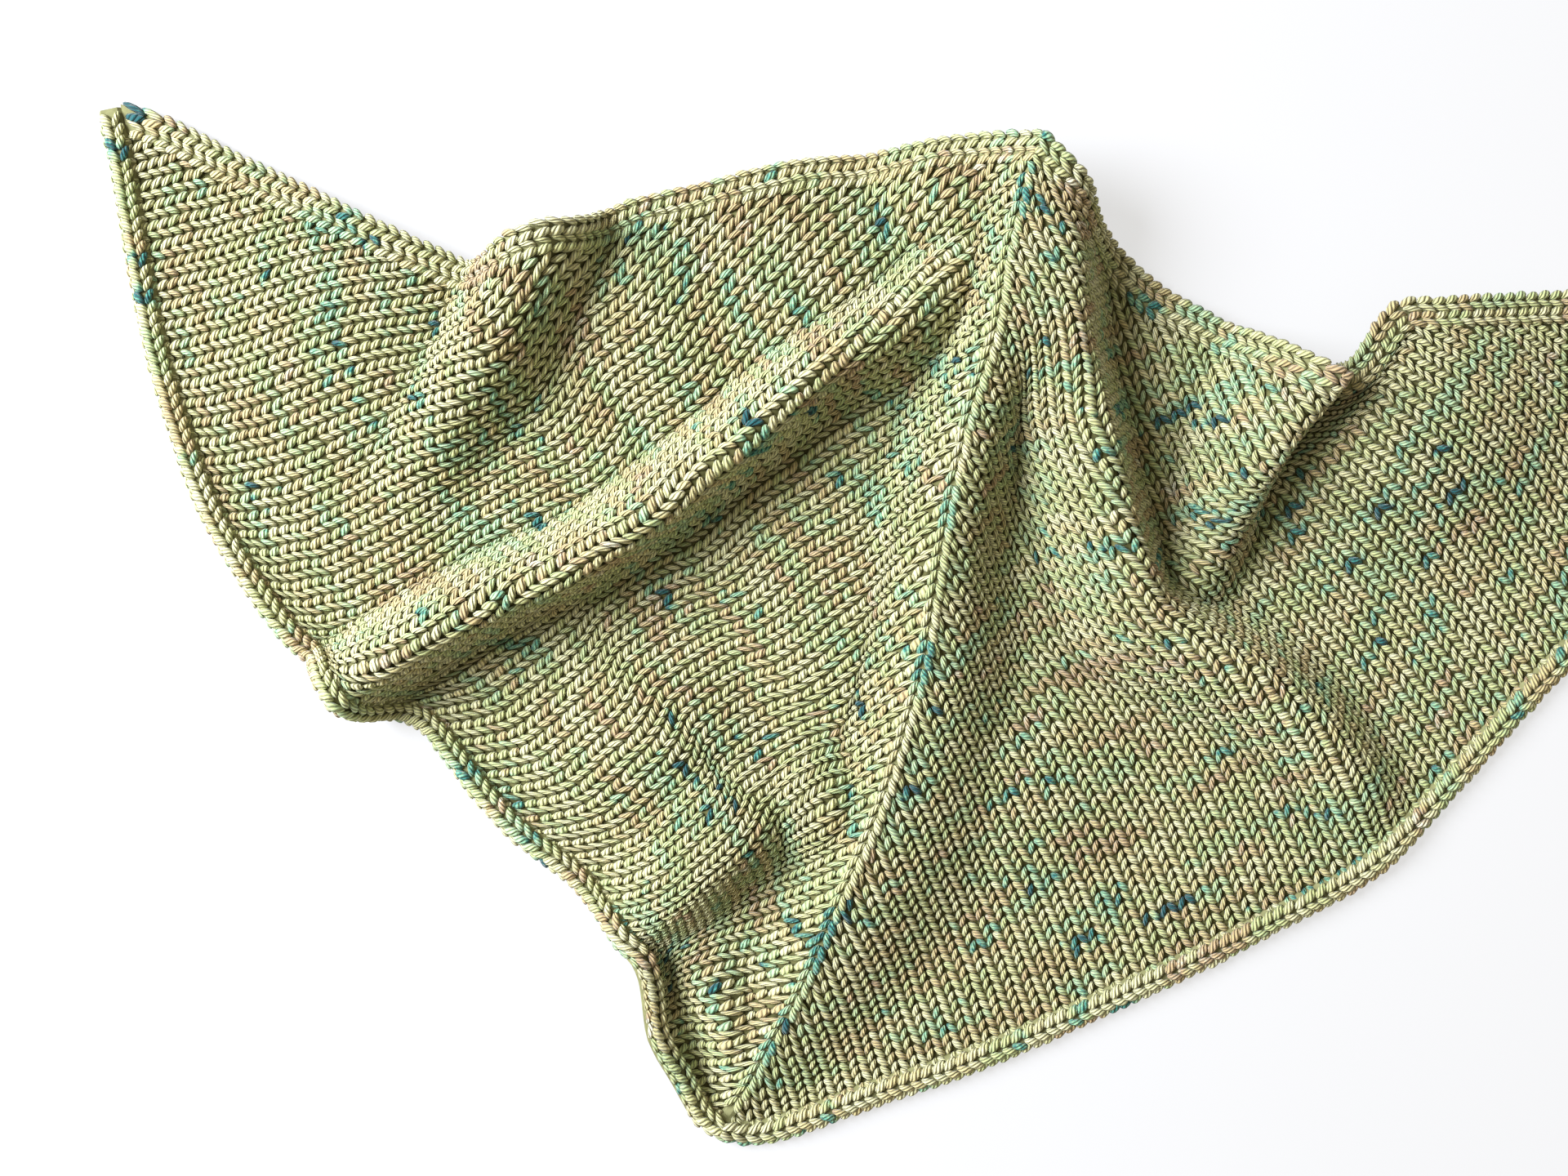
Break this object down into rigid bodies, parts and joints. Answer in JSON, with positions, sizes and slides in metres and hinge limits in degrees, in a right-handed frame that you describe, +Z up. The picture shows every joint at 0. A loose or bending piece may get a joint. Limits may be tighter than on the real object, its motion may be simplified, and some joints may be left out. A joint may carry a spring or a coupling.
{
  "type": "hand-knitted triangular kerchief",
  "caption": "Triangular kerchief hand-knitted in mottled green wool, with a raised centre spine, a wide neck border and a corded lower edge, laid down in soft folds",
  "frame": {"origin": "centre of the bounding box in plan, at the level of the surface that the kerchief lies on", "axes": "+X from the left wingtip toward the right wingtip, +Y from the bottom tip toward the neck edge, +Z up from the surface"},
  "size_m": [0.5023, 0.3095, 0.0315],
  "materials": {
    "field_yarn": "soft plied wool in plain stocking stitch, mottled hand-dyed green",
    "spine_yarn": "soft plied wool, a raised chain of stitches",
    "neck_yarn": "soft plied wool, stitches running along the border",
    "cord_yarn": "soft plied wool, a knitted cord"
  },
  "bodies": {
    "root": {"left_half": "field_yarn", "right_half": "field_yarn", "spine_column": "spine_yarn", "neck_edge": "neck_yarn", "bind_off": "cord_yarn"}
  },
  "joints": []
}
